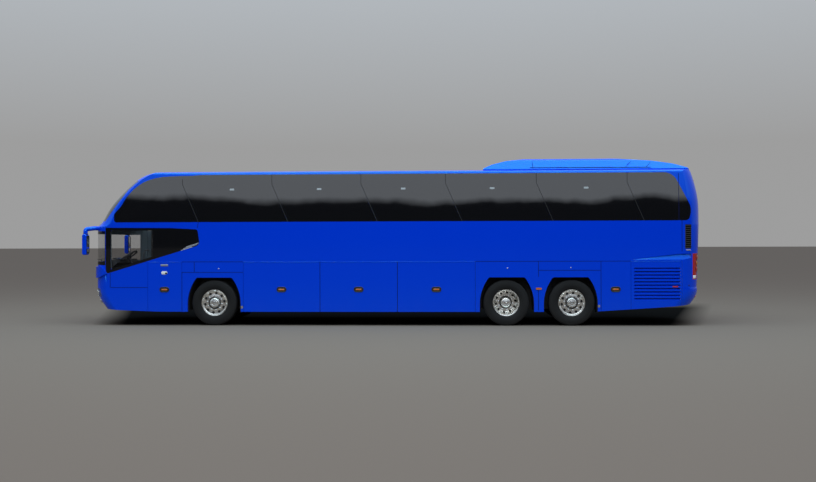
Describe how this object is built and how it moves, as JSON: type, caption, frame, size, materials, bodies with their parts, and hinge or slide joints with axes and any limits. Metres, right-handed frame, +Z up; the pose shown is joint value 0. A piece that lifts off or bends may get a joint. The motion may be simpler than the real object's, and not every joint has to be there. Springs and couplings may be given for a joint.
{
  "type": "three-axle coach bus",
  "caption": "High-deck touring coach with hollow body, tinted glazing, hinged flaps and swing-arm doors.",
  "frame": {"origin": "on the ground below the middle of the vehicle's box, mirrors included", "axes": "+X towards the rear, +Y towards the kerb side (the vehicle's right), +Z up"},
  "size_m": [14.054, 2.98, 3.7599],
  "materials": {
    "body_paint": "gloss royal blue",
    "tinted_glass": "dark privacy tint",
    "clear_glass": "light tint",
    "lamp_clear": "clear lens",
    "lamp_red": "red lens",
    "lamp_orange": "orange lens",
    "black_plastic": "moulded, fine grain",
    "chassis_paint": "satin black",
    "floor_covering": "studded floor covering",
    "seat_fabric": "woven moquette",
    "dash_plastic": "grained",
    "cast_iron": "painted casting",
    "tyre_rubber": "road tread",
    "polished_alloy": "polished"
  },
  "bodies": {
    "root": {"front_cap": "body_paint", "bumper": "body_paint", "brow": "body_paint", "left_wall": "body_paint", "right_wall": "body_paint", "roof": "body_paint", "rear_cap": "body_paint", "air_conditioner": "body_paint", "mirrors": "body_paint", "front_fascia": "body_paint", "windscreens": "clear_glass", "side_glass": "tinted_glass", "cab_glass": "tinted_glass", "rear_window": "tinted_glass", "headlamps": "lamp_clear", "tail_lamps": "lamp_red", "marker_lamps": "lamp_orange", "corner_vents": "black_plastic", "wheel_wells": "black_plastic", "rails": "chassis_paint", "luggage_floor": "chassis_paint", "luggage_bulkheads": "chassis_paint", "cabin_floor": "floor_covering", "steps": "floor_covering", "seats": "seat_fabric", "dashboard": "dash_plastic", "front_axle": "cast_iron", "drive_axle": "cast_iron", "tag_axle": "cast_iron", "engine": "cast_iron"},
    "knuckle_front_left": {"knuckle_front_left": "cast_iron"},
    "wheel_front_left": {"tyre_front_left": "tyre_rubber", "rim_front_left": "polished_alloy"},
    "knuckle_front_right": {"knuckle_front_right": "cast_iron"},
    "wheel_front_right": {"tyre_front_right": "tyre_rubber", "rim_front_right": "polished_alloy"},
    "wheel_drive_left": {"tyre_drive_left": "tyre_rubber", "rim_drive_left": "polished_alloy"},
    "wheel_drive_right": {"tyre_drive_right": "tyre_rubber", "rim_drive_right": "polished_alloy"},
    "knuckle_tag_left": {"knuckle_tag_left": "cast_iron"},
    "wheel_tag_left": {"tyre_tag_left": "tyre_rubber", "rim_tag_left": "polished_alloy"},
    "knuckle_tag_right": {"knuckle_tag_right": "cast_iron"},
    "wheel_tag_right": {"tyre_tag_right": "tyre_rubber", "rim_tag_right": "polished_alloy"},
    "luggage_flap_left_1": {"luggage_flap_left_1": "body_paint"},
    "luggage_flap_left_2": {"luggage_flap_left_2": "body_paint"},
    "luggage_flap_left_3": {"luggage_flap_left_3": "body_paint"},
    "luggage_flap_right_1": {"luggage_flap_right_1": "body_paint"},
    "luggage_flap_right_2": {"luggage_flap_right_2": "body_paint"},
    "service_flap_left": {"service_flap_left": "body_paint"},
    "louvre_flap_left": {"louvre_flap_left": "body_paint"},
    "engine_lid": {"engine_lid": "body_paint"},
    "front_door_arm": {"front_door_arm": "chassis_paint"},
    "front_door": {"front_door": "body_paint", "front_door_glass": "tinted_glass"},
    "mid_door_arm": {"mid_door_arm": "chassis_paint"},
    "mid_door": {"mid_door": "body_paint", "mid_door_glass": "tinted_glass"}
  },
  "joints": [
    {"name": "steer_front_left", "type": "hinge", "parent": "root", "child": "knuckle_front_left", "pos_m": [-4.06, -1.031, 0.512], "axis": [0, 0, 1], "range_deg": [-45, 45]},
    {"name": "spin_front_left", "type": "hinge", "parent": "knuckle_front_left", "child": "wheel_front_left", "pos_m": [-4.06, -1.111, 0.512], "axis": [0, 1, 0], "continuous": true},
    {"name": "steer_front_right", "type": "hinge", "parent": "root", "child": "knuckle_front_right", "pos_m": [-4.06, 1.031, 0.512], "axis": [0, 0, 1], "range_deg": [-45, 45]},
    {"name": "spin_front_right", "type": "hinge", "parent": "knuckle_front_right", "child": "wheel_front_right", "pos_m": [-4.06, 1.111, 0.512], "axis": [0, 1, 0], "continuous": true},
    {"name": "spin_drive_left", "type": "hinge", "parent": "root", "child": "wheel_drive_left", "pos_m": [2.544, -1.111, 0.512], "axis": [0, 1, 0], "continuous": true},
    {"name": "spin_drive_right", "type": "hinge", "parent": "root", "child": "wheel_drive_right", "pos_m": [2.544, 1.111, 0.512], "axis": [0, 1, 0], "continuous": true},
    {"name": "steer_tag_left", "type": "hinge", "parent": "root", "child": "knuckle_tag_left", "pos_m": [4.003, -1.031, 0.512], "axis": [0, 0, 1], "range_deg": [-16, 16]},
    {"name": "spin_tag_left", "type": "hinge", "parent": "knuckle_tag_left", "child": "wheel_tag_left", "pos_m": [4.003, -1.111, 0.512], "axis": [0, 1, 0], "continuous": true},
    {"name": "steer_tag_right", "type": "hinge", "parent": "root", "child": "knuckle_tag_right", "pos_m": [4.003, 1.031, 0.512], "axis": [0, 0, 1], "range_deg": [-16, 16]},
    {"name": "spin_tag_right", "type": "hinge", "parent": "knuckle_tag_right", "child": "wheel_tag_right", "pos_m": [4.003, 1.111, 0.512], "axis": [0, 1, 0], "continuous": true},
    {"name": "luggage_flap_left_1_hinge", "type": "hinge", "parent": "root", "child": "luggage_flap_left_1", "pos_m": [-2.52, -1.275, 1.437], "axis": [-1, 0, 0], "range_deg": [0, 100]},
    {"name": "luggage_flap_left_2_hinge", "type": "hinge", "parent": "root", "child": "luggage_flap_left_2", "pos_m": [-0.77, -1.275, 1.437], "axis": [-1, 0, 0], "range_deg": [0, 100]},
    {"name": "luggage_flap_left_3_hinge", "type": "hinge", "parent": "root", "child": "luggage_flap_left_3", "pos_m": [0.98, -1.275, 1.437], "axis": [-1, 0, 0], "range_deg": [0, 100]},
    {"name": "luggage_flap_right_1_hinge", "type": "hinge", "parent": "root", "child": "luggage_flap_right_1", "pos_m": [-2.52, 1.275, 1.437], "axis": [1, 0, 0], "range_deg": [0, 100]},
    {"name": "luggage_flap_right_2_hinge", "type": "hinge", "parent": "root", "child": "luggage_flap_right_2", "pos_m": [-0.77, 1.275, 1.437], "axis": [1, 0, 0], "range_deg": [0, 100]},
    {"name": "service_flap_left_hinge", "type": "hinge", "parent": "root", "child": "service_flap_left", "pos_m": [-5.1925, -1.275, 1.437], "axis": [-1, 0, 0], "range_deg": [0, 100]},
    {"name": "louvre_flap_left_hinge", "type": "hinge", "parent": "root", "child": "louvre_flap_left", "pos_m": [5.87, -1.275, 1.437], "axis": [-1, 0, 0], "range_deg": [0, 100]},
    {"name": "engine_lid_hinge", "type": "hinge", "parent": "root", "child": "engine_lid", "pos_m": [6.996, 0, 1.419], "axis": [0, -1, 0], "range_deg": [0, 80]},
    {"name": "front_door_swing", "type": "hinge", "parent": "root", "child": "front_door_arm", "pos_m": [-5.56, 1.15, 1.2], "axis": [0, 0, -1], "range_deg": [0, 110]},
    {"name": "front_door_guide", "type": "hinge", "parent": "front_door_arm", "child": "front_door", "pos_m": [-6.04, 1.15, 1.17], "axis": [0, 0, 1], "range_deg": [0, 110]},
    {"name": "mid_door_swing", "type": "hinge", "parent": "root", "child": "mid_door_arm", "pos_m": [1.69, 1.15, 1.2], "axis": [0, 0, -1], "range_deg": [0, 110]},
    {"name": "mid_door_guide", "type": "hinge", "parent": "mid_door_arm", "child": "mid_door", "pos_m": [1.21, 1.15, 1.17], "axis": [0, 0, 1], "range_deg": [0, 110]}
  ],
  "couplings": [
    {"joint": "steer_front_right", "follows": "steer_front_left", "ratio": 1},
    {"joint": "steer_tag_left", "follows": "steer_front_left", "ratio": -0.35},
    {"joint": "steer_tag_right", "follows": "steer_front_left", "ratio": -0.35},
    {"joint": "front_door_guide", "follows": "front_door_swing", "ratio": 1},
    {"joint": "mid_door_guide", "follows": "mid_door_swing", "ratio": 1}
  ]
}
